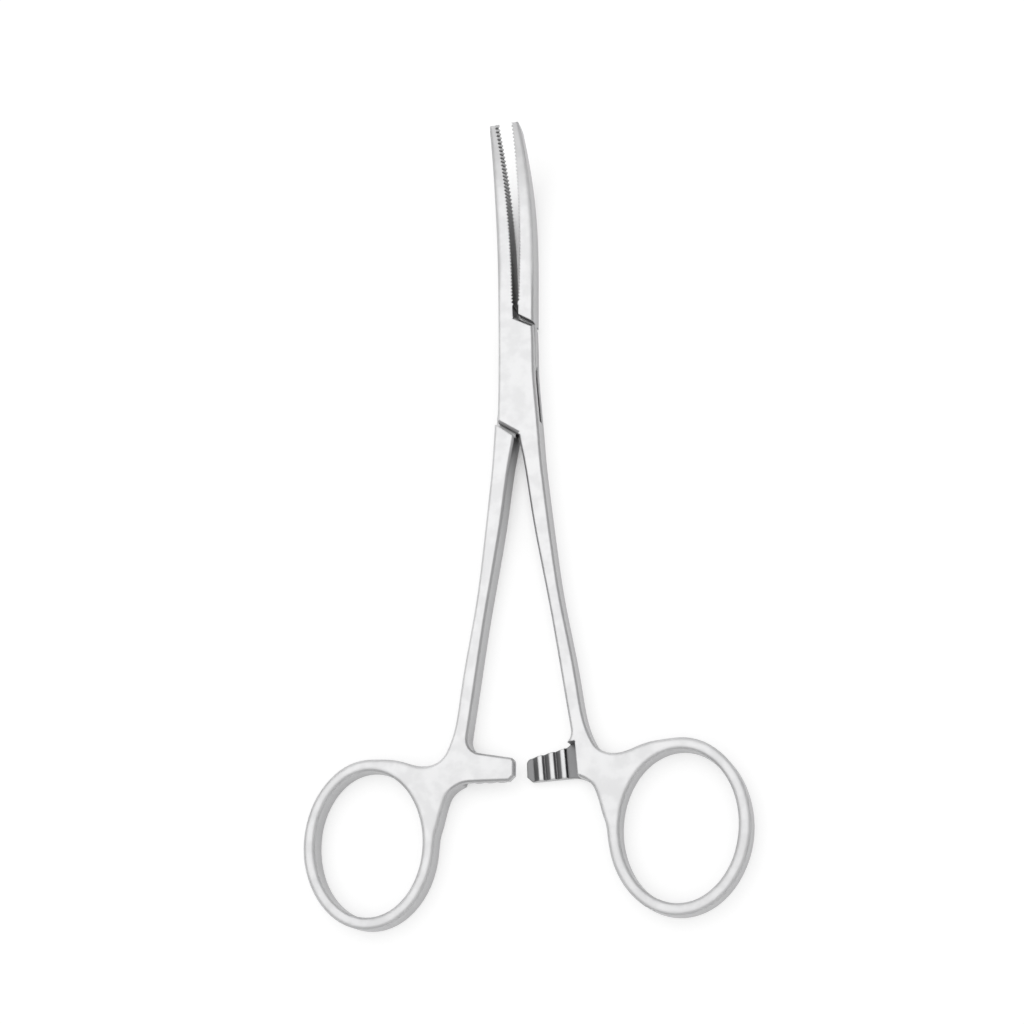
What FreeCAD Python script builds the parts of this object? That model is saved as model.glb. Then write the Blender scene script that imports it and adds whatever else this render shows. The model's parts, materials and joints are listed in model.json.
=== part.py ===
# Hemostat forceps, curved pattern with box lock, closed length 130 mm.
# Frame: the hinge axis is Z through the origin, +Y runs to the jaw tips, -Y to the finger
# rings, and the jaws curve up towards +Z. The flat back of the box lock lies on z = 0.
# Both halves are drawn closed and then swung apart by the rest opening.
import FreeCAD, Part
import math
import os
from FreeCAD import Vector

doc = FreeCAD.newDocument("hemostat_forceps")
sheet = doc.addObject("Spreadsheet::Sheet", "sizes")

DRIVING_SIZES = [
    # Distances along the instrument, measured from the hinge axis
    ("jaw_reach", 42.8),
    ("curve_start", 20.0),
    ("curve_radius", 41.0),
    ("lock_top", 9.95),
    ("lock_bottom", 10.5),
    ("arm_middle", 63.0),
    # Widths seen from the front
    ("jaw_tip_width", 1.35),
    ("jaw_middle_width", 2.3),
    ("jaw_root_width", 2.65),
    ("lock_top_half_width", 3.05),
    ("lock_middle_half_width", 2.95),
    ("lock_bottom_half_width", 3.35),
    ("step_drop_top", 1.9),
    ("step_drop_bottom", 2.5),
    ("shank_root_width", 3.15),
    ("shank_waist_width", 1.9),
    ("shank_foot_width", 2.2),
    ("shank_root_offset", 1.88),
    ("shank_foot_offset", 6.5),
    ("shank_root_drop", 2.0),
    ("shank_foot_rise", 10.9),
    ("shank_bow_ratio", 1.2),
    # Thicknesses
    ("lock_thickness", 3.6),
    ("lock_run_out", 2.5),
    ("shank_thickness", 3.2),
    ("jaw_root_thickness", 3.5),
    ("jaw_middle_thickness", 3.3),
    ("jaw_tip_thickness", 2.3),
    # Finger rings
    ("ring_offset", 21.25),
    ("eye_half_width", 8.55),
    ("eye_half_length", 10.85),
    ("ring_band", 1.75),
    ("ring_above_arm", 1.7),
    ("ring_tilt", 6.0),
    ("ring_low_angle", 192.0),
    ("ring_high_angle", 96.0),
    # Outline: bevel along its edges, and how closely arcs follow its free curves
    ("edge_bevel", 0.32),
    ("arc_tolerance", 0.03),
    # Box lock
    ("slot_width", 1.2),
    ("slot_clearance", 0.05),
    ("slot_end_drop", 1.8),
    ("step_bevel", 0.42),
    ("shoulder_gap", 0.4),
    ("neck_crossing", 2.0),
    ("neck_clearance", 0.15),
    ("pin_radius", 1.1),
    ("pin_clearance", 0.03),
    # Gripping faces
    ("serration_pitch", 0.62),
    ("serration_depth", 0.28),
    ("serration_land", 0.05),
    ("serration_start", 12.6),
    ("face_clearance", 0.02),
    ("face_relief", 0.15),
    # Ratchet
    ("arm_overlap", 1.2),
    ("arm_tip_width", 3.35),
    ("arm_root_width", 4.7),
    ("arm_fillet", 2.3),
    ("arm_tip_radius", 0.8),
    ("arm_tip_bevel", 0.75),
    ("arm_step_inset", 0.4),
    ("first_tooth", 2.2),
    ("tooth_count", 3),
    ("tooth_pitch", 1.75),
    ("tooth_height", 0.5),
    ("tooth_crest", 0.55),
    ("tooth_flank", 0.26),
    ("rack_overrun", 0.1),
    ("tooth_clearance", 0.06),
    # Opening between the two halves as they lie at rest, in degrees
    ("rest_opening", 3.4),
]

for row, (alias, value) in enumerate(DRIVING_SIZES, start=1):
    sheet.set(f"A{row}", alias)
    sheet.set(f"B{row}", str(value))
    sheet.setAlias(f"B{row}", alias)
doc.recompute()


def size(alias):
    return float(sheet.get(alias))


UP = Vector(0, 0, 1)
ACROSS = Vector(1, 0, 0)
ALONG = Vector(0, 1, 0)
NEARLY = 1e-6
MIDDLE_Z = size("lock_thickness") / 2


# Plan outline of one forged half, closed, with its jaw on -X and its ring on +X

def ring_middle():
    """Distance of the ring's middle from the hinge axis, along the instrument."""
    return size("arm_middle") - size("ring_above_arm") + size("eye_half_length") + size("ring_band")


def ring_point(degrees):
    """A point of the ring's outer oval, at an angle from its short axis."""
    half_width = size("eye_half_width") + size("ring_band")
    half_length = size("eye_half_length") + size("ring_band")
    tilt = -math.radians(size("ring_tilt"))
    along = half_width * math.cos(math.radians(degrees))
    across = half_length * math.sin(math.radians(degrees))
    x = size("ring_offset") + along * math.cos(tilt) - across * math.sin(tilt)
    y = -ring_middle() + along * math.sin(tilt) + across * math.cos(tilt)
    return Vector(x, y, 0)


def ring_oval(grow, start_degrees, end_degrees):
    """An arc of the oval that lies the given amount outside the eye of the ring."""
    centre = Vector(size("ring_offset"), -ring_middle(), 0)
    tilt = math.radians(size("ring_tilt"))
    long_axis = Vector(math.sin(tilt), math.cos(tilt), 0)
    short_axis = Vector(math.cos(tilt), -math.sin(tilt), 0)
    long_end = centre + long_axis * (size("eye_half_length") + grow)
    short_end = centre - short_axis * (size("eye_half_width") + grow)
    oval = Part.Ellipse(long_end, short_end, centre)
    quarter = math.radians(90)
    start = math.radians(start_degrees) - quarter
    end = math.radians(end_degrees) - quarter
    return tangent_arcs(Part.ArcOfEllipse(oval, start, end).toBSpline())


def ring_web(across, along):
    """A point of the web round the ring, in units of the ring's outer half sizes."""
    half_width = size("eye_half_width") + size("ring_band")
    half_length = size("eye_half_length") + size("ring_band")
    x = size("ring_offset") + across * half_width
    y = -ring_middle() + along * half_length
    return Vector(x, y, 0)


def shank_edge(part_way, width, side):
    """A point on one edge of the shank; part_way runs from the lock (0) to the arm (1)."""
    root_y = -size("lock_bottom") - size("shank_root_drop")
    foot_y = -size("arm_middle") + size("shank_foot_rise")
    bow = part_way ** size("shank_bow_ratio")
    offset = size("shank_root_offset")
    offset += (size("shank_foot_offset") - size("shank_root_offset")) * bow
    y = root_y + (foot_y - root_y) * part_way
    return Vector(offset + side * width / 2, y, 0)


def shank_side(side):
    root = size("shank_root_width")
    waist = size("shank_waist_width")
    stations = [(0, root), (1 / 3, (root + waist) / 2), (2 / 3, waist)]
    stations.append((1, size("shank_foot_width")))
    return [shank_edge(part_way, width, side) for part_way, width in stations]


def spline(points, start_direction=None, end_direction=None):
    curve = Part.BSplineCurve()
    if start_direction is None:
        curve.interpolate(Points=points)
    else:
        curve.interpolate(Points=points, InitialTangent=start_direction, FinalTangent=end_direction)
    return curve


def tangent_arcs(curve):
    """The curve as a run of tangent arcs, so that walls and bevels stay plain and round."""
    return [piece.toShape() for piece in curve.toBiArcs(size("arc_tolerance"))]


def rounded_corner(before, corner, after, radius):
    """Tangent arc of the given radius at a corner, as start, middle and end points."""
    back = (before - corner).normalize()
    ahead = (after - corner).normalize()
    half_angle = back.getAngle(ahead) / 2
    reach = radius / math.tan(half_angle)
    inward = (back + ahead).normalize()
    centre = corner + inward * (radius / math.sin(half_angle))
    return [corner + back * reach, centre - inward * radius, corner + ahead * reach]


def arc(three_points):
    return Part.Arc(*three_points).toShape()


def line(start, end):
    return Part.LineSegment(start, end).toShape()


def jaw_nose():
    """Three points of the arc that rounds the jaw's tip, in units of its width there."""
    width = size("jaw_tip_width")
    tip_y = size("jaw_reach")
    beyond_tip = tip_y + size("jaw_tip_thickness") / 2
    start = Vector(-0.2 * width, beyond_tip, 0)
    middle = Vector(-0.76 * width, tip_y - 0.2 * width, 0)
    end = Vector(-width, tip_y - width, 0)
    return [start, middle, end]


def plan_outline():
    tip_y = size("jaw_reach")
    lock_top = size("lock_top")
    step_left_y = size("step_drop_bottom") - size("lock_bottom")
    step_left = Vector(-size("lock_bottom_half_width"), step_left_y, 0)
    crotch = Vector(0, -size("lock_bottom"), 0)
    face_x = -size("face_clearance")
    step_right = Vector(size("lock_top_half_width"), lock_top - size("step_drop_top"), 0)
    nose = jaw_nose()
    face_bottom = Vector(face_x, lock_top, 0)
    face_top = Vector(face_x, nose[0].y, 0)

    # Back of the jaw, from the nose down the left side of the lock
    jaw_back = [nose[-1]]
    jaw_back.append(Vector(-size("jaw_middle_width"), (tip_y + lock_top) / 2, 0))
    jaw_back.append(Vector(-size("jaw_root_width"), lock_top, 0))
    jaw_back.append(Vector(-size("lock_middle_half_width"), 0, 0))
    jaw_back.append(step_left)

    # Arm of the ratchet, from the shank round its tip and back to the ring
    arm_bottom = -size("arm_middle") - size("arm_root_width") / 2
    arm_root_top = -size("arm_middle") + size("arm_root_width") / 2
    arm_tip_top = arm_bottom + size("arm_tip_width")
    tip_x = -size("arm_overlap")
    inner = shank_side(-1)
    shank_corner = Vector(size("shank_foot_offset"), arm_root_top, 0)
    tip_corner = Vector(tip_x, arm_tip_top, 0)
    bevel_top = Vector(tip_x, arm_bottom + size("arm_tip_bevel"), 0)
    bevel_bottom = Vector(tip_x + size("arm_tip_bevel"), arm_bottom, 0)
    arm_fillet = rounded_corner(inner[-1], shank_corner, tip_corner, size("arm_fillet"))
    tip_round = rounded_corner(shank_corner, tip_corner, bevel_top, size("arm_tip_radius"))
    web_start = Vector(ring_web(-1.51, 0).x, arm_bottom, 0)

    # Inner edge of the shank, inner web and outer side of shank, web and ring
    shank_inner = [crotch] + inner + [arm_fillet[0]]
    crotch_direction = Vector(0.12, -1, 0)
    fillet_direction = (shank_corner - inner[-1]).normalize()
    low_angle = size("ring_low_angle")
    ring_low = ring_point(low_angle)
    low_direction = (ring_point(low_angle + 1) - ring_point(low_angle - 1)).normalize()
    inner_web = [web_start, ring_web(-1.35, 0.65), ring_web(-1.21, 0.57), ring_web(-1.12, 0.41)]
    inner_web += [ring_web(-1.05, 0.17), ring_low]
    high_angle = size("ring_high_angle")
    ring_high = ring_point(high_angle)
    high_direction = (ring_point(high_angle - 1) - ring_point(high_angle + 1)).normalize()
    side_direction = Vector(0.02, -1, 0)
    outer_side = [step_right, Vector(size("lock_middle_half_width"), 0, 0)]
    outer_side.append(Vector(size("lock_bottom_half_width"), step_left.y - 0.5, 0))
    outer_side += shank_side(1)
    outer_side += [ring_web(-1.2, 1.155), ring_web(-1.03, 0.94), ring_web(-0.76, 0.893)]
    outer_side += [ring_web(-0.48, 0.953), ring_high]

    edges = [
        line(face_bottom, face_top),
        line(face_top, nose[0]),
        arc(nose),
        spline(jaw_back).toShape(),
        line(step_left, crotch),
        arc(arm_fillet),
        line(arm_fillet[2], tip_round[0]),
        arc(tip_round),
        line(tip_round[2], bevel_top),
        line(bevel_top, bevel_bottom),
        line(bevel_bottom, web_start),
        line(step_right, face_bottom),
    ]
    edges += tangent_arcs(spline(shank_inner, crotch_direction, fillet_direction))
    edges += tangent_arcs(spline(inner_web, ACROSS, low_direction))
    edges += ring_oval(size("ring_band"), low_angle, 360 + high_angle)
    edges += tangent_arcs(spline(outer_side, side_direction, high_direction))
    return edges


def closed_face(edges):
    return Part.Face(Part.Wire(Part.sortEdges(edges)[0]))


# Side profile of one forged half: the curve of the jaw and the thickness along it

def jaw_middle_line(y):
    """Height of the jaw's middle line and its slope angle."""
    if y <= size("curve_start"):
        return MIDDLE_Z, 0.0
    angle = math.asin((y - size("curve_start")) / size("curve_radius"))
    return MIDDLE_Z + size("curve_radius") * (1 - math.cos(angle)), angle


def jaw_side_point(y, offset):
    """A point beside the jaw's middle line, square to it, in the plane of X = 0."""
    height, angle = jaw_middle_line(y)
    return Vector(0, y - offset * math.sin(angle), height + offset * math.cos(angle))


def jaw_side(side):
    lock_half = size("lock_thickness") / 2
    start = size("curve_start")
    points = [Vector(0, size("lock_top"), MIDDLE_Z + side * lock_half)]
    points.append(jaw_side_point(start, side * size("jaw_root_thickness") / 2))
    middle = (start + size("jaw_reach")) / 2
    points.append(jaw_side_point(middle, side * size("jaw_middle_thickness") / 2))
    points.append(jaw_side_point(size("jaw_reach"), side * size("jaw_tip_thickness") / 2))
    tip_angle = jaw_middle_line(size("jaw_reach"))[1]
    tip_direction = Vector(0, math.cos(tip_angle), math.sin(tip_angle))
    return spline(points, ALONG, tip_direction).toShape(), points[0], points[-1]


def profile_face():
    lock_half = size("lock_thickness") / 2
    shank_half = size("shank_thickness") / 2
    handle_end = -ring_middle() - 2 * size("eye_half_length")
    foot_y = -size("arm_middle") + size("shank_foot_rise")
    edges = []
    tips = []
    ends = []
    for side in (-1, 1):
        jaw, jaw_root, jaw_tip = jaw_side(side)
        lock_end_y = -size("lock_bottom") - size("lock_run_out")
        lock_end = Vector(0, lock_end_y, MIDDLE_Z + side * lock_half)
        shank_end = Vector(0, foot_y, MIDDLE_Z + side * shank_half)
        handle = Vector(0, handle_end, MIDDLE_Z + side * shank_half)
        back = ALONG * -1
        taper = spline([lock_end, (lock_end + shank_end) / 2, shank_end], back, back).toShape()
        edges += [jaw, line(jaw_root, lock_end), taper, line(shank_end, handle)]
        tips.append(jaw_tip)
        ends.append(handle)
    edges += [line(*tips), line(*ends)]
    return closed_face(edges)


# Solids of the document: each takes its lengths from the sheet

def face_object(name, face):
    drawn = doc.addObject("Part::Feature", name)
    drawn.Shape = face
    return drawn


def extrusion(name, face, direction, forward, reverse="0"):
    """A prism on a face; forward and reverse are expressions on the sheet."""
    prism = doc.addObject("Part::Extrusion", name)
    prism.Base = face
    prism.DirMode = "Custom"
    prism.Dir = direction
    prism.Solid = True
    prism.setExpression("LengthFwd", forward)
    prism.setExpression("LengthRev", reverse)
    return prism


def polygon_face(points):
    return Part.Face(Part.makePolygon(points + points[:1]))


def boolean(kind, name, base, tool):
    result = doc.addObject(f"Part::{kind}", name)
    result.Base = base
    result.Tool = tool
    return result


def cylinder(name, radius, height, bottom="0"):
    round_bar = doc.addObject("Part::Cylinder", name)
    round_bar.setExpression("Radius", radius)
    round_bar.setExpression("Height", height)
    round_bar.setExpression("Placement.Base.z", bottom)
    return round_bar


ABOVE_ALL = "sizes.jaw_reach"
BEYOND_RINGS = "3 * sizes.ring_offset"


# The forged blank that both halves start from, with all its outer edges bevelled

plan = face_object("forging_plan", closed_face(plan_outline()))
plan_prism = extrusion("forging_plan_prism", plan, UP, ABOVE_ALL)
profile = face_object("forging_profile", profile_face())
profile_prism = extrusion("forging_profile_prism", profile, ACROSS, BEYOND_RINGS, BEYOND_RINGS)
blank = boolean("Common", "forging_blank", plan_prism, profile_prism)

eye_outline = face_object("ring_eye_plan", closed_face(ring_oval(0, 0, 360)))
eye_prism = extrusion("ring_eye", eye_outline, UP, ABOVE_ALL)
pierced = boolean("Cut", "forging_pierced", blank, eye_prism)
doc.recompute()


def on_wall_top(edge):
    """True for an edge that runs along a wall, at the front or the back surface."""
    ends = [vertex.Point for vertex in edge.Vertexes]
    lowest = min(end.y for end in ends)
    straight = edge.Curve.TypeId == "Part::GeomLine"
    upright = len(ends) > 1 and (ends[0] - ends[-1]).cross(UP).Length < NEARLY
    on_face = all(abs(end.x + size("face_clearance")) < NEARLY for end in ends)
    level = straight and abs(ends[0].y - ends[-1].y) < NEARLY
    step = straight and lowest > -size("lock_bottom") - NEARLY
    nose = lowest > jaw_nose()[-1].y - NEARLY
    return not (upright or on_face or level or step or nose)


bevelled_edges = []
for index, edge in enumerate(pierced.Shape.Edges, start=1):
    if on_wall_top(edge):
        bevelled_edges.append((index, size("edge_bevel"), size("edge_bevel")))
forging = doc.addObject("Part::Chamfer", "forging")
forging.Base = pierced
forging.Edges = bevelled_edges

forging_mirrored = doc.addObject("Part::Mirroring", "forging_mirrored")
forging_mirrored.Source = forging
forging_mirrored.Normal = ACROSS
doc.recompute()


# Box lock: the slot through the box half and the tongue that the other half passes through it

def slot_face():
    """Plan of the slot: open at both sides, closed by the roots of the jaw and of the shank."""
    top = size("lock_top")
    bottom = -size("lock_bottom")
    side = 2 * size("lock_bottom_half_width")
    drop = side * size("slot_end_drop") / size("lock_middle_half_width")
    points = [Vector(0, top, 0), Vector(-side, top - drop, 0), Vector(-side, bottom, 0)]
    points += [Vector(0, bottom, 0), Vector(side, bottom + drop, 0), Vector(side, top, 0)]
    return polygon_face(points)


def step_bevel_cutter():
    """Wedges along both steps of the box, front and back, which leave a bevel on each."""
    bevel = size("step_bevel")
    top = Vector(0, size("lock_top"), 0)
    top_outer = Vector(size("lock_top_half_width"), size("lock_top") - size("step_drop_top"), 0)
    bottom = Vector(0, -size("lock_bottom"), 0)
    bottom_outer = Vector(-size("lock_bottom_half_width"), bottom.y + size("step_drop_bottom"), 0)
    wedges = []
    for inner, outer in ((top, top_outer), (bottom, bottom_outer)):
        outward = UP.cross(outer - inner).normalize()
        for height, inside in ((0, UP), (size("lock_thickness"), UP * -1)):
            edge = inner + UP * height
            corner = edge + (outward - inside) * bevel
            section = [corner, corner + inside * (3 * bevel), corner - outward * (3 * bevel)]
            wedges.append(polygon_face(section).extrude((outer - inner) * 2))
    return Part.makeCompound(wedges)


def shoulder_line(inner, outer, away):
    """Line beside a step of the box, one shoulder gap away from it, as two far points."""
    along = (outer - inner).normalize()
    square = along.cross(UP) * away
    start = inner + square * size("shoulder_gap")
    reach = 3 * size("lock_bottom_half_width")
    return start - along * reach, start + along * reach


def shoulder_face():
    """Plan of the flats milled on both faces of the tongue, between its two shoulders."""
    inner = Vector(0, size("lock_top"), 0)
    outer = inner + Vector(size("lock_top_half_width"), -size("step_drop_top"), 0)
    top_left, top_right = shoulder_line(inner, outer, -1)
    inner = Vector(0, -size("lock_bottom"), 0)
    outer = inner + Vector(-size("lock_bottom_half_width"), size("step_drop_bottom"), 0)
    bottom_right, bottom_left = shoulder_line(inner, outer, -1)
    return polygon_face([top_left, top_right, bottom_right, bottom_left])


def neck_side_face(turn, crossing, inner):
    """Plan of the metal taken off one edge of the tongue, turned half way round for the other."""
    side = size("lock_middle_half_width")
    clearance = size("neck_clearance")
    far = 2 * side
    end_y = -inner - clearance
    points = [Vector(side, crossing, 0), Vector(-clearance, -inner, 0)]
    points += [Vector(-clearance, end_y, 0), Vector(far, end_y, 0), Vector(far, crossing, 0)]
    face = polygon_face(points)
    face.rotate(Vector(0, 0, 0), UP, turn)
    return face


def slab(name, face, bottom, forward):
    """A prism on a plan face from a given height upwards."""
    plan_of_slab = face_object(name + "_plan", face)
    prism = extrusion(name, plan_of_slab, UP, forward)
    prism.setExpression("Placement.Base.z", bottom)
    return prism


slot = slab("slot", slot_face(), "(sizes.lock_thickness - sizes.slot_width) / 2", "sizes.slot_width")
flat_front = slab(
    "tongue_flat_front",
    shoulder_face(),
    "(sizes.lock_thickness + sizes.slot_width) / 2 - sizes.slot_clearance",
    "sizes.lock_thickness",
)
flat_back = slab(
    "tongue_flat_back",
    shoulder_face(),
    "-(sizes.lock_thickness + sizes.slot_width) / 2 + sizes.slot_clearance",
    "sizes.lock_thickness",
)
neck_low = slab(
    "neck_side_low",
    neck_side_face(0, size("neck_crossing"), size("lock_bottom")),
    "0",
    "sizes.lock_thickness",
)
neck_high = slab(
    "neck_side_high",
    neck_side_face(180, size("neck_crossing"), size("lock_top") + size("shoulder_gap")),
    "0",
    "sizes.lock_thickness",
)


# Gripping faces: cross serrations square to the curve of the jaw, and a plain relief below them

def serration_cutters(side, shift):
    """One V groove after another along the jaw's face; side is the jaw's side of the face."""
    depth = size("serration_depth") + size("face_clearance")
    pitch = size("serration_pitch")
    half_mouth = (pitch - size("serration_land")) / 2
    half_length = size("lock_thickness")
    radius = size("curve_radius")
    curve_start = size("curve_start")
    position = size("serration_start") + shift * pitch
    arc_end = curve_start + radius * math.asin((size("jaw_reach") - curve_start) / radius)
    grooves = []
    while position < arc_end:
        past_start = position - curve_start
        if past_start <= 0:
            angle = 0.0
            middle = Vector(0, position, MIDDLE_Z)
        else:
            angle = past_start / radius
            rise = radius * (1 - math.cos(angle))
            middle = Vector(0, curve_start + radius * math.sin(angle), MIDDLE_Z + rise)
        along = Vector(0, math.cos(angle), math.sin(angle))
        square = Vector(0, -math.sin(angle), math.cos(angle))
        base = middle - square * half_length
        mouth = [base - along * half_mouth, base + along * half_mouth]
        root = base + ACROSS * (side * depth)
        grooves.append(polygon_face([mouth[0], mouth[1], root]).extrude(square * (2 * half_length)))
        position += pitch
    return Part.makeCompound(grooves)


def relief_cutter(side):
    """The plain stretch of the face between the lock and the first serration."""
    length = size("serration_start") - size("serration_pitch") - size("lock_top")
    depth = size("face_relief")
    corner = Vector(-depth if side < 0 else 0, size("lock_top"), -1)
    return Part.makeBox(depth, length, 2 * size("lock_thickness"), corner)


# Ratchet: the rack of saw teeth across the inner side of each arm

def rack_face():
    """Section of the metal taken off an arm, in the plane across the arm, crests at z = 0."""
    pitch = size("tooth_pitch")
    crest = size("tooth_crest")
    valley = -size("tooth_height")
    flank = size("tooth_flank")
    middle = size("first_tooth") + pitch * (size("tooth_count") - 1) / 2
    tip = -middle - size("first_tooth")
    step = size("shank_foot_offset") + size("arm_step_inset") + size("arm_overlap") - middle
    points = [Vector(tip, 0, valley)]
    for number in range(int(size("tooth_count"))):
        centre = size("first_tooth") + number * pitch - middle
        points.append(Vector(centre - pitch + crest / 2 + flank, 0, valley))
        points.append(Vector(centre - crest / 2, 0, 0))
        points.append(Vector(centre + crest / 2, 0, 0))
        points.append(Vector(centre + crest / 2 + flank, 0, valley))
    points.append(Vector(step, 0, valley))
    top = size("lock_thickness")
    points += [Vector(step, 0, top), Vector(tip, 0, top)]
    return polygon_face(points), middle


def rack_cutter(name, side):
    """The rack as a cutter; side 1 cuts the front of the box half's arm, -1 the other's back."""
    face, middle = rack_face()
    centre_x = middle - size("arm_overlap")
    if side < 0:
        face = face.mirror(Vector(0, 0, 0), ACROSS).mirror(Vector(0, 0, 0), UP)
    drawn = face_object(name + "_section", face)
    reach = "sizes.arm_middle - sizes.arm_root_width / 2 - sizes.rack_overrun"
    prism = extrusion(name, drawn, ALONG, f"-({reach})", "sizes.arm_middle + sizes.arm_root_width")
    turn = math.degrees(math.atan2(centre_x, size("arm_middle")))
    prism.Placement = FreeCAD.Placement(
        Vector(0, 0, MIDDLE_Z - side * size("tooth_clearance")),
        FreeCAD.Rotation(UP, side * turn),
    )
    return prism


# The box half: left jaw, both walls of the lock, right shank with its ring and arm

pin_bore = cylinder("pin_bore", "sizes.pin_radius", "sizes.lock_thickness")
box_stepped = boolean(
    "Cut", "box_half_stepped", forging, face_object("box_half_step_bevels", step_bevel_cutter())
)
box_slotted = boolean("Cut", "box_half_slotted", box_stepped, slot)
box_bored = boolean("Cut", "box_half_bored", box_slotted, pin_bore)
box_racked = boolean("Cut", "box_half_racked", box_bored, rack_cutter("box_half_rack", 1))
box_relieved = boolean(
    "Cut", "box_half_relieved", box_racked, face_object("box_half_relief", relief_cutter(-1))
)
box_half = boolean(
    "Cut", "box_half", box_relieved, face_object("box_half_grooves", serration_cutters(-1, 0))
)
box_half.setExpression("Placement.Rotation.Angle", "sizes.rest_opening / 2")

# The tongue half: right jaw, the tongue in the slot, left shank with its ring and arm

running_bore = cylinder(
    "running_bore", "sizes.pin_radius + sizes.pin_clearance", "sizes.lock_thickness"
)
tongue_milled = forging_mirrored
for tool in (flat_front, flat_back, neck_low, neck_high, running_bore):
    tongue_milled = boolean("Cut", "tongue_half_less_" + tool.Name, tongue_milled, tool)
tongue_racked = boolean("Cut", "tongue_half_racked", tongue_milled, rack_cutter("tongue_half_rack", -1))
tongue_relieved = boolean(
    "Cut", "tongue_half_relieved", tongue_racked, face_object("tongue_half_relief", relief_cutter(1))
)
tongue_half = boolean(
    "Cut", "tongue_half", tongue_relieved, face_object("tongue_half_grooves", serration_cutters(1, 0.5))
)
tongue_half.setExpression("Placement.Rotation.Angle", "-sizes.rest_opening / 2")

# The hinge pin, pressed into both walls and ground flush with them

hinge_pin = cylinder("hinge_pin", "sizes.pin_radius", "sizes.lock_thickness")

doc.recompute()

SUBPARTS = [box_half, tongue_half, hinge_pin]
for item in doc.Objects:
    if "Invalid" in item.State or "Error" in item.State:
        raise RuntimeError(f"{item.Name} did not build: {item.State}")
for subpart in SUBPARTS:
    shape = subpart.Shape
    if shape.isNull() or not shape.isValid() or len(shape.Solids) != 1:
        raise RuntimeError(f"{subpart.Label} is not one valid solid")

os.makedirs("parts", exist_ok=True)
for subpart in SUBPARTS:
    subpart.Shape.exportStep(f"parts/{subpart.Label}.step")
    print(subpart.Label, f"volume {subpart.Shape.Volume:.1f} mm3")
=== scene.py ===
# %% [markdown]
# Hemostat forceps in satin steel
#
# The real object is a pair of locking forceps: two forged halves that cross in a box lock, a pin that
# holds them together, serrated jaws that curve towards the viewer, two finger rings and a ratchet
# between the shanks. The construction comes in as a fixed frame in metres, and this lesson dresses it:
# the finish of the steel, the light, the floor and the camera.

# %% Load the frame
import json
import math
import bpy
from mathutils import Matrix, Vector

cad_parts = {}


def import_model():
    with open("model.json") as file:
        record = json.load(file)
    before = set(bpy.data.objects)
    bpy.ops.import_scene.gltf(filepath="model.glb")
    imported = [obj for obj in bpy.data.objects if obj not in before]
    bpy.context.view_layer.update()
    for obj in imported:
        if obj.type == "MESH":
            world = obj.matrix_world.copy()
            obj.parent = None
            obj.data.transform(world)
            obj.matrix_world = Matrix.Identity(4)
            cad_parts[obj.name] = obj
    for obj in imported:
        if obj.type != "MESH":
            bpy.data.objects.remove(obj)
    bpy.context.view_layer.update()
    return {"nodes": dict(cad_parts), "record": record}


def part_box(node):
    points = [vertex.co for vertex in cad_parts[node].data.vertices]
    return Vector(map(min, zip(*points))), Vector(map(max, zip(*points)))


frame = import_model()
MM = 0.001
print("nodes:", sorted(frame["nodes"]))

# %% [markdown]
# Places that the looks share
#
# Everything that has a place, such as the middle of a finger ring or the height of the floor, is read
# from the frame, so that the looks follow the construction. The sizes of the finish itself, such as the
# width of a polishing line, stand in the cell that uses them.

# %% Read places from the frame
mounts = {mount["name"]: Vector(mount["pos_m"]) for mount in frame["record"]["mounts"]}
RING_MIDDLES = {"box_half": mounts["right_ring_eye"], "tongue_half": mounts["left_ring_eye"]}
FLOOR_HEIGHT = min(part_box(name)[0].z for name in frame["nodes"])
for name, middle in RING_MIDDLES.items():
    print(name, "has its ring's middle at, in mm:", tuple(round(c / MM, 2) for c in middle))
print("floor height in mm:", round(FLOOR_HEIGHT / MM, 3))

# %% [markdown]
# The camera
#
# The photograph looks down on the forceps from the ring end and a little from the right. The camera
# could be aimed with a constraint, but its own matrix says the same in one place: the direction from
# the object to the camera, a small roll, the distance and the point that it looks at. The angles were
# found by fitting both rings and both shanks to the photograph.

# %% Place the camera
VIEW_TURN = math.radians(16.9)
VIEW_TILT = math.radians(20.44)
VIEW_ROLL = math.radians(-0.287)
VIEW_DISTANCE = 274.56 * MM
VIEW_TARGET = Vector((-1.277, -22.87, 1.8)) * MM
FOCAL_LENGTH = 62.1


def photo_camera():
    towards = Vector((
        math.sin(VIEW_TURN) * math.cos(VIEW_TILT),
        -math.sin(VIEW_TILT),
        math.cos(VIEW_TURN) * math.cos(VIEW_TILT),
    ))
    level_up = (Vector((0, 1, 0)) - towards * towards.y).normalized()
    level_right = level_up.cross(towards)
    right = level_right * math.cos(VIEW_ROLL) + level_up * math.sin(VIEW_ROLL)
    up = towards.cross(right)
    data = bpy.data.cameras.new("photo_camera")
    data.lens = FOCAL_LENGTH
    data.sensor_width = 36.0
    data.clip_start = 0.01
    camera = bpy.data.objects.new("photo_camera", data)
    turn = Matrix((right, up, towards)).transposed().to_4x4()
    camera.matrix_world = Matrix.Translation(VIEW_TARGET + towards * VIEW_DISTANCE) @ turn
    bpy.context.scene.collection.objects.link(camera)
    bpy.context.scene.camera = camera
    return camera


camera = photo_camera()
print("camera at, in mm:", tuple(round(c / MM, 1) for c in camera.matrix_world.translation))

# %% [markdown]
# Small helpers for node trees
#
# A procedural finish is a graph of nodes. A few helpers keep the cells short: one adds a node and sets
# its values, one starts a group with named inputs and outputs, and the others do the sums. A group is
# built once and then placed in every material that needs the effect.

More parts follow.
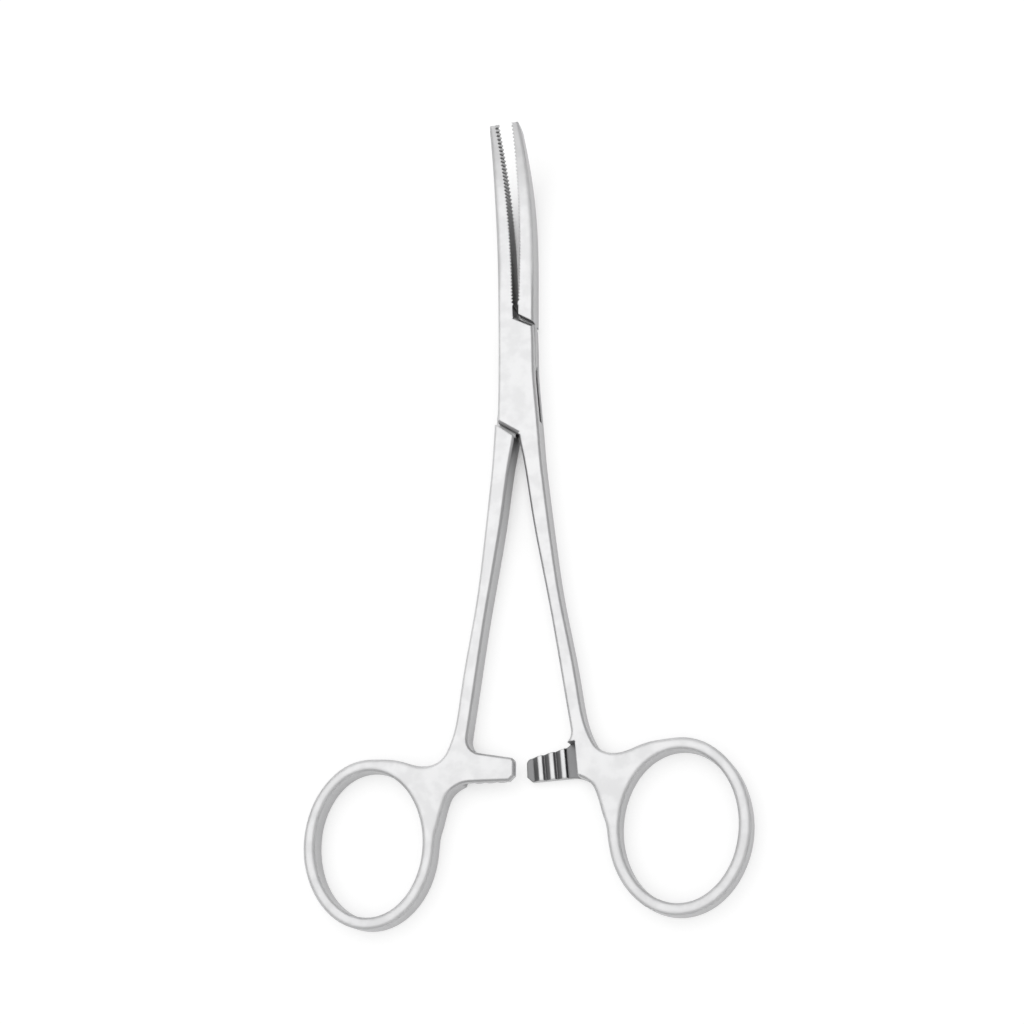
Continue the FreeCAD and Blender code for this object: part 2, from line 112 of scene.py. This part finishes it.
# %% Helpers for materials
def add_node(tree, kind, links=None, **settings):
    """Adds a node; settings are attributes, and links feeds its inputs from sockets or numbers."""
    node = tree.nodes.new(kind)
    for name, value in settings.items():
        setattr(node, name, value)
    for name, source in (links or {}).items():
        if isinstance(source, bpy.types.NodeSocket):
            tree.links.new(source, node.inputs[name])
        else:
            node.inputs[name].default_value = source
    return node


def maths(tree, operation, first, second=0.0, third=0.0):
    node = add_node(tree, "ShaderNodeMath", {0: first, 1: second, 2: third}, operation=operation)
    return node.outputs[0]


def smooth_step(tree, value, low, high):
    node = add_node(
        tree,
        "ShaderNodeMapRange",
        {"Value": value, "From Min": low, "From Max": high},
        interpolation_type="SMOOTHSTEP",
    )
    return node.outputs["Result"]


def start_group(name, inputs, outputs):
    """A node group whose sockets are given as (name, type, default) and (name, type)."""
    group = bpy.data.node_groups.new(name, "ShaderNodeTree")
    for socket_name, kind, default in inputs:
        socket = group.interface.new_socket(socket_name, in_out="INPUT", socket_type=kind)
        if default is not None:
            socket.default_value = default
    for socket_name, kind in outputs:
        group.interface.new_socket(socket_name, in_out="OUTPUT", socket_type=kind)
    entry = group.nodes.new("NodeGroupInput")
    end = group.nodes.new("NodeGroupOutput")
    return group, entry.outputs, end.inputs


def place_group(tree, group, links):
    return add_node(tree, "ShaderNodeGroup", links, node_tree=group)


def vector_maths(tree, operation, first, second=(0.0, 0.0, 0.0)):
    return add_node(tree, "ShaderNodeVectorMath", {0: first, 1: second}, operation=operation)


def flat_distance(tree, parts):
    """Length of a split vector in the plan, without its height."""
    square = maths(tree, "MULTIPLY", parts.outputs["Y"], parts.outputs["Y"])
    both = maths(tree, "MULTIPLY_ADD", parts.outputs["X"], parts.outputs["X"], square)
    return maths(tree, "SQRT", both)


def span(low, high):
    """A range in millimetres as metres, for smooth_step."""
    return low * MM, high * MM


# %% [markdown]
# Polishing lines
#
# Satin steel is dull because a fine abrasive wheel leaves thousands of shallow lines in it. On the
# shanks and jaws the wheel runs along the instrument, and on the rings it runs round them. A picture
# of scratches would have to be wrapped on, so the lines are noise instead, squeezed across the run of
# the wheel and stretched along it. Near a ring the coordinates change over to angle and radius.

# %% Group: polishing lines
FLOAT, VECTOR = "NodeSocketFloat", "NodeSocketVector"
LINE_WIDTH = 0.12 * MM
LINE_LENGTH = 6.0 * MM
RING_REACH = 13.5 * MM
RING_FADE = 1.12
PATCHES_PER_METRE = 420.0


def line_noise(tree, place):
    node = add_node(
        tree,
        "ShaderNodeTexNoise",
        {"Vector": place.outputs[0], "Scale": 1.0, "Detail": 3.0, "Roughness": 0.6},
    )
    return node.outputs["Fac"]


def polishing_lines():
    group, given, result = start_group(
        "polishing lines",
        [
            ("Place", VECTOR, None),
            ("Ring Middle", VECTOR, None),
            ("Ring Reach", FLOAT, RING_REACH),
            ("Line Width", FLOAT, LINE_WIDTH),
            ("Line Length", FLOAT, LINE_LENGTH),
        ],
        [("Lines", FLOAT), ("Patches", FLOAT), ("On Ring", FLOAT)],
    )
    across = maths(group, "DIVIDE", 1.0, given["Line Width"])
    along = maths(group, "DIVIDE", 1.0, given["Line Length"])

    straight_scale = add_node(group, "ShaderNodeCombineXYZ", {"X": across, "Y": along, "Z": across})
    straight = vector_maths(group, "MULTIPLY", given["Place"], straight_scale.outputs[0])
    straight_noise = line_noise(group, straight)

    from_middle = vector_maths(group, "SUBTRACT", given["Place"], given["Ring Middle"])
    parts = add_node(group, "ShaderNodeSeparateXYZ", {0: from_middle.outputs[0]})
    radius = flat_distance(group, parts)
    angle = maths(group, "ARCTAN2", parts.outputs["Y"], parts.outputs["X"])
    run = maths(group, "MULTIPLY", maths(group, "MULTIPLY", angle, given["Ring Reach"]), along)
    round_place = add_node(
        group,
        "ShaderNodeCombineXYZ",
        {
            "X": maths(group, "MULTIPLY", radius, across),
            "Y": run,
            "Z": maths(group, "MULTIPLY", parts.outputs["Z"], across),
        },
    )
    round_noise = line_noise(group, round_place)

    fade = maths(group, "MULTIPLY", given["Ring Reach"], RING_FADE)
    on_ring = smooth_step(group, radius, fade, given["Ring Reach"])
    lines = add_node(
        group,
        "ShaderNodeMix",
        {"Factor": on_ring, "A": straight_noise, "B": round_noise},
        data_type="FLOAT",
    )
    patches = add_node(
        group,
        "ShaderNodeTexNoise",
        {"Vector": given["Place"], "Scale": PATCHES_PER_METRE, "Detail": 4.0},
    )
    group.links.new(lines.outputs[0], result["Lines"])
    group.links.new(patches.outputs["Fac"], result["Patches"])
    group.links.new(on_ring, result["On Ring"])
    return group


lines_group = polishing_lines()
print("group:", lines_group.name, "with", len(lines_group.nodes), "nodes")

# %% [markdown]
# Worn edges with a painted highlight, and painted shade in hollows
#
# Handling rubs the edges of steel a little brighter than its flats, and the lighter edge colour is also
# a painted highlight. The foot of a groove gets painted shade. The bevel node gives the normal that a
# slightly rounded edge would have, and where it leaves the true normal, there is an edge. One occlusion
# node looks a short way for the hollows. A second one looks further and leans upwards, so that it finds
# the other half of the tool but not the floor. It marks where the two halves stand close, and the steel
# gets painted shade there.

# %% Group: edges and hollows
EDGE_WIDTH = 0.26 * MM
HOLLOW_REACH = 1.0 * MM
GAP_REACH = 6.0 * MM
LEAN = (0.0, 0.0, 0.9)
EDGE_MATCH = (0.995, 0.85)
HOLLOW_OPENNESS = (0.85, 0.2)
GAP_OPENNESS = (0.7, 0.3)
SAMPLES = 4


def edges_and_hollows():
    group, given, result = start_group(
        "edges and hollows",
        [
            ("Edge Width", FLOAT, EDGE_WIDTH),
            ("Hollow Reach", FLOAT, HOLLOW_REACH),
            ("Gap Reach", FLOAT, GAP_REACH),
        ],
        [("Edge", FLOAT), ("Hollow", FLOAT), ("Gap", FLOAT), ("Rounded Normal", VECTOR)],
    )
    bevel = add_node(group, "ShaderNodeBevel", {"Radius": given["Edge Width"]}, samples=SAMPLES)
    geometry = add_node(group, "ShaderNodeNewGeometry")
    # Edge mask, for the worn edges and their painted highlight.
    alike = vector_maths(group, "DOT_PRODUCT", bevel.outputs["Normal"], geometry.outputs["Normal"])
    edge = smooth_step(group, alike.outputs["Value"], *EDGE_MATCH)
    # Short occlusion: the mask for painted shade in hollows.
    near = add_node(
        group,
        "ShaderNodeAmbientOcclusion",
        {"Distance": given["Hollow Reach"]},
        samples=SAMPLES,
        only_local=True,
    )
    hollow_shade = smooth_step(group, near.outputs["AO"], *HOLLOW_OPENNESS)
    # Long occlusion leaning upwards: the mask for painted shade between the halves.
    leaning = vector_maths(group, "ADD", geometry.outputs["Normal"], LEAN)
    upwards = vector_maths(group, "NORMALIZE", leaning.outputs[0])
    far = add_node(
        group,
        "ShaderNodeAmbientOcclusion",
        {"Distance": given["Gap Reach"], "Normal": upwards.outputs[0]},
        samples=SAMPLES,
    )
    gap_shade = smooth_step(group, far.outputs["AO"], *GAP_OPENNESS)
    group.links.new(edge, result["Edge"])
    group.links.new(hollow_shade, result["Hollow"])
    group.links.new(gap_shade, result["Gap"])
    group.links.new(bevel.outputs["Normal"], result["Rounded Normal"])
    return group


edges_group = edges_and_hollows()
print("group:", edges_group.name, "with", len(edges_group.nodes), "nodes")

# %% [markdown]
# Where the finish changes
#
# The front and the back of each half are ground on a belt and come out light and even. The sides are
# blasted after forging and stay duller, and their darker colour is partly painted shade. The grooves
# of the jaws and the toothed side of the rack get a dark colour that is painted shade. Painted borders
# would do, but each zone is simply where the surface turns away from the front, or lies at a known
# depth, so the normal and the place are the masks. The pin is ground flush and can't be told from the
# half around it, so no edge is drawn there. The jaws are crowned on their outer side and the rings are
# nearly round, so the bevel grows there.

# %% Group: zones of the finish
CROWN_WIDTH = 0.7 * MM
RING_WIDTH = 0.4 * MM
FRONT_TURN = (0.45, 0.8)
UPWARD_TURN = (0.25, 0.4)
JAW_LENGTH = span(12.0, 20.0)
CROWN_DEPTH = span(0.5, 1.1)
BITE_LENGTH = span(11.5, 12.2)
BITE_DEPTH = span(0.55, 0.45)
BITE_SHARPNESS = 0.9
GROOVE_DEPTH = span(0.08, 0.26)
RACK_HEIGHT = span(1.71, 1.62)
ARM_REACH = span(9.3, 9.1)
ARM_LENGTH = span(-50.0, -52.0)
PIN_RADIUS = span(1.6, 1.4)
LEAST_WIDTH = 0.005 * MM


def finish_zones():
    group, given, result = start_group(
        "zones of the finish",
        [
            ("Place", VECTOR, None),
            ("Turn", VECTOR, None),
            ("Across", VECTOR, None),
            ("On Ring", FLOAT, 0.0),
            ("Edge Width", FLOAT, EDGE_WIDTH),
            ("Crown Width", FLOAT, CROWN_WIDTH),
            ("Ring Width", FLOAT, RING_WIDTH),
        ],
        [
            ("Ground Face", FLOAT),
            ("Groove", FLOAT),
            ("Rack", FLOAT),
            ("Pin End", FLOAT),
            ("Edge Width", FLOAT),
        ],
    )
    turn = add_node(group, "ShaderNodeSeparateXYZ", {0: given["Turn"]})
    place = add_node(group, "ShaderNodeSeparateXYZ", {0: given["Place"]})
    ground = smooth_step(group, maths(group, "ABSOLUTE", turn.outputs["Z"]), *FRONT_TURN)
    side = maths(group, "SUBTRACT", 1.0, ground)

    across = vector_maths(group, "DOT_PRODUCT", given["Place"], given["Across"])
    depth = maths(group, "ABSOLUTE", across.outputs["Value"])
    on_jaw = smooth_step(group, place.outputs["Y"], *JAW_LENGTH)
    crown = maths(group, "MULTIPLY", smooth_step(group, depth, *CROWN_DEPTH), on_jaw)

    beyond_lock = smooth_step(group, place.outputs["Y"], *BITE_LENGTH)
    bite = maths(group, "MULTIPLY", smooth_step(group, depth, *BITE_DEPTH), beyond_lock)
    bite = maths(group, "MULTIPLY", bite, side)
    # The foot of the jaw grooves, which gets painted shade.
    groove_shade = maths(group, "MULTIPLY", bite, smooth_step(group, depth, *GROOVE_DEPTH))

    # The toothed side of the rack, which gets painted shade.
    low = smooth_step(group, place.outputs["Z"], *RACK_HEIGHT)
    low = maths(group, "MULTIPLY", low, smooth_step(group, turn.outputs["Z"], *UPWARD_TURN))
    inwards = smooth_step(group, maths(group, "ABSOLUTE", place.outputs["X"]), *ARM_REACH)
    at_arms = smooth_step(group, place.outputs["Y"], *ARM_LENGTH)
    rack = maths(group, "MULTIPLY", low, maths(group, "MULTIPLY", inwards, at_arms))

    near_axis = smooth_step(group, flat_distance(group, place), *PIN_RADIUS)
    pin_end = maths(group, "MULTIPLY", near_axis, ground)

    width = maths(group, "MULTIPLY_ADD", crown, given["Crown Width"], given["Edge Width"])
    width = maths(group, "MULTIPLY_ADD", given["On Ring"], given["Ring Width"], width)
    width = maths(group, "MULTIPLY", width, maths(group, "MULTIPLY_ADD", bite, -BITE_SHARPNESS, 1.0))
    width = maths(group, "MULTIPLY", width, maths(group, "SUBTRACT", 1.0, pin_end))
    for socket, name in (
        (ground, "Ground Face"),
        (groove_shade, "Groove"),
        (rack, "Rack"),
        (pin_end, "Pin End"),
        (maths(group, "ADD", width, LEAST_WIDTH), "Edge Width"),
    ):
        group.links.new(socket, result[name])
    return group


zones_group = finish_zones()
print("group:", zones_group.name, "with", len(zones_group.nodes), "nodes")

# %% [markdown]
# The satin steel
#
# Stainless steel is a full metal: its colour tints what it mirrors, and its roughness spreads it. The
# polishing lines change the roughness and raise a very fine bump, the edges are a little lighter from
# wear and a painted highlight, the hollows, grooves, rack and close gaps get painted shade, the sides a
# colour that is partly painted shade, and a soft mottling breaks up the flats. Each half gets a material
# of its own, because its ring and its biting face are elsewhere.

# %% Material: satin steel
GROUND_STEEL = (0.72, 0.72, 0.725, 1.0)
DULL_STEEL = (0.57, 0.57, 0.575, 1.0)
# Side colour: duller blasted steel, darkened further as painted shade.
BLASTED_AND_SHADED_STEEL = (0.52, 0.52, 0.525, 1.0)
# Painted shade for the recessed toothed side of the rack.
RACK_SHADE_STEEL = (0.25, 0.25, 0.255, 1.0)
# Edge colour: some wear, and partly a painted highlight.
WORN_EDGE_HIGHLIGHT_STEEL = (0.78, 0.78, 0.785, 1.0)
# The colour of painted shade, in hollows, between the halves and in the jaw grooves.
PAINTED_SHADE_STEEL = (0.07, 0.07, 0.07, 1.0)
SATIN_ROUGHNESS = 0.33
BLASTED_ROUGHNESS = 0.42
LINE_ROUGHNESS = 0.12
PATCH_ROUGHNESS = 0.05
MOTTLING = 0.35
MOTTLING_RANGE = (0.38, 0.62)
WEAR_AND_HIGHLIGHT_SHARE = 0.3
GAP_SHARE = 0.6
GROOVE_SHARE = 0.95
RACK_RELIEF = 0.8
BUMP_DEPTH = 0.01 * MM
BUMP_STRENGTH = 0.25


def blend(tree, factor, first, second):
    """Mixes two colours, each a socket or a plain colour."""
    node = add_node(tree, "ShaderNodeMix", {0: factor, 6: first, 7: second}, data_type="RGBA")
    return node.outputs[2]


def between(tree, factor, first, second):
    """A value between two numbers."""
    return maths(tree, "MULTIPLY_ADD", factor, second - first, first)


def satin_steel(name, ring_middle, across):
    material = bpy.data.materials.new(name)
    material.use_nodes = True
    tree = material.node_tree
    shader = tree.nodes["Principled BSDF"]
    shader.inputs["Metallic"].default_value = 1.0
    place = add_node(tree, "ShaderNodeTexCoord")
    lines = place_group(
        tree, lines_group, {"Place": place.outputs["Object"], "Ring Middle": tuple(ring_middle)}
    )
    zones = place_group(
        tree,
        zones_group,
        {
            "Place": place.outputs["Object"],
            "Turn": place.outputs["Normal"],
            "Across": across,
            "On Ring": lines.outputs["On Ring"],
        },
    )
    edges = place_group(tree, edges_group, {"Edge Width": zones.outputs["Edge Width"]})
    off_pin = maths(tree, "SUBTRACT", 1.0, zones.outputs["Pin End"])

    mottling = smooth_step(tree, lines.outputs["Patches"], *MOTTLING_RANGE)
    mottling = maths(tree, "MULTIPLY", mottling, MOTTLING)
    # The sides get the darker side colour, which is partly painted shade.
    colour = blend(tree, zones.outputs["Ground Face"], BLASTED_AND_SHADED_STEEL, GROUND_STEEL)
    colour = blend(tree, mottling, colour, DULL_STEEL)
    # Painted shade on the toothed side of the rack.
    colour = blend(tree, zones.outputs["Rack"], colour, RACK_SHADE_STEEL)
    # Edges are lightened: partly wear, partly a painted highlight.
    wear_and_highlight = maths(tree, "MULTIPLY", off_pin, WEAR_AND_HIGHLIGHT_SHARE)
    wear_and_highlight = maths(tree, "MULTIPLY", edges.outputs["Edge"], wear_and_highlight)
    colour = blend(tree, wear_and_highlight, colour, WORN_EDGE_HIGHLIGHT_STEEL)
    # Painted shade in hollows, less on the rack, which already has its own painted shade.
    off_rack = maths(tree, "MULTIPLY_ADD", zones.outputs["Rack"], -RACK_RELIEF, 1.0)
    hollow_shade = maths(tree, "MULTIPLY", off_pin, off_rack)
    hollow_shade = maths(tree, "MULTIPLY", edges.outputs["Hollow"], hollow_shade)
    # Painted shade where the two halves stand close.
    gap_shade = maths(tree, "MULTIPLY", edges.outputs["Gap"], GAP_SHARE)
    # Painted shade in the jaw grooves.
    groove_shade = maths(tree, "MULTIPLY", zones.outputs["Groove"], GROOVE_SHARE)
    for shade in (hollow_shade, gap_shade, groove_shade):
        colour = blend(tree, shade, colour, PAINTED_SHADE_STEEL)
    tree.links.new(colour, shader.inputs["Base Color"])

    roughness = between(tree, zones.outputs["Ground Face"], BLASTED_ROUGHNESS, SATIN_ROUGHNESS)
    roughness = maths(tree, "MULTIPLY_ADD", lines.outputs["Lines"], LINE_ROUGHNESS, roughness)
    roughness = maths(tree, "MULTIPLY_ADD", lines.outputs["Patches"], PATCH_ROUGHNESS, roughness)
    mean_change = (LINE_ROUGHNESS + PATCH_ROUGHNESS) / 2
    tree.links.new(maths(tree, "SUBTRACT", roughness, mean_change), shader.inputs["Roughness"])

    bump = add_node(
        tree,
        "ShaderNodeBump",
        {
            "Height": lines.outputs["Lines"],
            "Strength": BUMP_STRENGTH,
            "Distance": BUMP_DEPTH,
            "Normal": edges.outputs["Rounded Normal"],
        },
    )
    tree.links.new(bump.outputs["Normal"], shader.inputs["Normal"])
    return material


REST_TURN = math.radians(1.7)
ACROSS = {
    "box_half": (math.cos(REST_TURN), math.sin(REST_TURN), 0.0),
    "tongue_half": (math.cos(REST_TURN), -math.sin(REST_TURN), 0.0),
    "hinge_pin": (0.0, 0.0, 0.0),
}
for name, across in ACROSS.items():
    node = frame["nodes"][name]
    node.data.materials.clear()
    ring_middle = RING_MIDDLES.get(name, RING_MIDDLES["box_half"])
    node.data.materials.append(satin_steel("satin_steel_" + name, ring_middle, across))
print("materials:", [material.name for material in bpy.data.materials if material.users])

# %% [markdown]
# Floor and light
#
# The forceps lie on a plain white floor under soft light. The floor could be one bright material, but
# then it would throw too much light back up. So it is a plain pale grey for every ray that lights the
# object, and the camera and the mirrored rays see some plain white added to it, which keeps the shadow.
# The added white fades where the floor is shut in, so that it doesn't shine through the narrow slots.

# %% Floor
FLOOR_COLOUR = (0.5, 0.5, 0.5, 1.0)
FLOOR_GLOW = 0.64
FLOOR_SIZE = 3.0
SHUT_IN_REACH = 10.0 * MM
SHUT_IN_OPENNESS = (0.05, 0.3)


def floor_material():
    material = bpy.data.materials.new("floor")
    material.use_nodes = True
    tree = material.node_tree
    tree.nodes.remove(tree.nodes["Principled BSDF"])
    diffuse = add_node(tree, "ShaderNodeBsdfDiffuse", {"Color": FLOOR_COLOUR})
    rays = add_node(tree, "ShaderNodeLightPath")
    seen = maths(tree, "MAXIMUM", rays.outputs["Is Camera Ray"], rays.outputs["Is Glossy Ray"])
    seen = maths(tree, "MAXIMUM", seen, rays.outputs["Is Transmission Ray"])
    around = add_node(tree, "ShaderNodeAmbientOcclusion", {"Distance": SHUT_IN_REACH}, samples=SAMPLES)
    open_air = smooth_step(tree, around.outputs["AO"], *SHUT_IN_OPENNESS)
    seen = maths(tree, "MULTIPLY", seen, open_air)
    strength = maths(tree, "MULTIPLY", seen, FLOOR_GLOW)
    glow = add_node(tree, "ShaderNodeEmission", {"Strength": strength})
    both = add_node(tree, "ShaderNodeAddShader", {0: diffuse.outputs[0], 1: glow.outputs[0]})
    tree.links.new(both.outputs[0], tree.nodes["Material Output"].inputs["Surface"])
    return material


def floor():
    mesh = bpy.data.meshes.new("floor")
    half = FLOOR_SIZE / 2
    corners = [(-half, -half, 0), (half, -half, 0), (half, half, 0), (-half, half, 0)]
    mesh.from_pydata(corners, [], [(0, 1, 2, 3)])
    mesh.materials.append(floor_material())
    plane = bpy.data.objects.new("floor", mesh)
    plane.location.z = FLOOR_HEIGHT
    bpy.context.scene.collection.objects.link(plane)


floor()

# %% [markdown]
# World and lamp
#
# Bright metal shows its surroundings more than its own colour. A studio hangs a wide white cloth above
# the table and leaves the room around it darker, and that darker rim is what draws the thin lines along
# the edges of the steel. Here the world is a smooth change from a dim rim to a bright top, and one wide
# soft lamp behind the jaws adds the gentle change of tone along the flats.

# %% World and lamp
RIM_LIGHT = 0.22
TOP_LIGHT = 0.9
LIGHT_RISE = (0.0, 0.85)


def world():
    sky = bpy.data.worlds.new("studio")
    sky.use_nodes = True
    tree = sky.node_tree
    background = tree.nodes["Background"]
    place = add_node(tree, "ShaderNodeTexCoord")
    parts = add_node(tree, "ShaderNodeSeparateXYZ", {0: place.outputs["Generated"]})
    height = smooth_step(tree, parts.outputs["Z"], *LIGHT_RISE)
    strength = maths(tree, "MULTIPLY_ADD", height, TOP_LIGHT - RIM_LIGHT, RIM_LIGHT)
    background.inputs["Color"].default_value = (1.0, 1.0, 1.0, 1.0)
    tree.links.new(strength, background.inputs["Strength"])
    bpy.context.scene.world = sky


def soft_lamp(name, place, aim, width, power):
    data = bpy.data.lights.new(name, "AREA")
    data.shape = "DISK"
    data.size = width
    data.energy = power
    lamp = bpy.data.objects.new(name, data)
    lamp.location = place
    lamp.rotation_euler = (Vector(aim) - Vector(place)).to_track_quat("-Z", "Y").to_euler()
    bpy.context.scene.collection.objects.link(lamp)


world()
soft_lamp("cloth above", (-0.35, 0.45, 1.0), (0, -0.02, 0), 1.1, 1.3)
bpy.context.scene.view_settings.view_transform = "Standard"
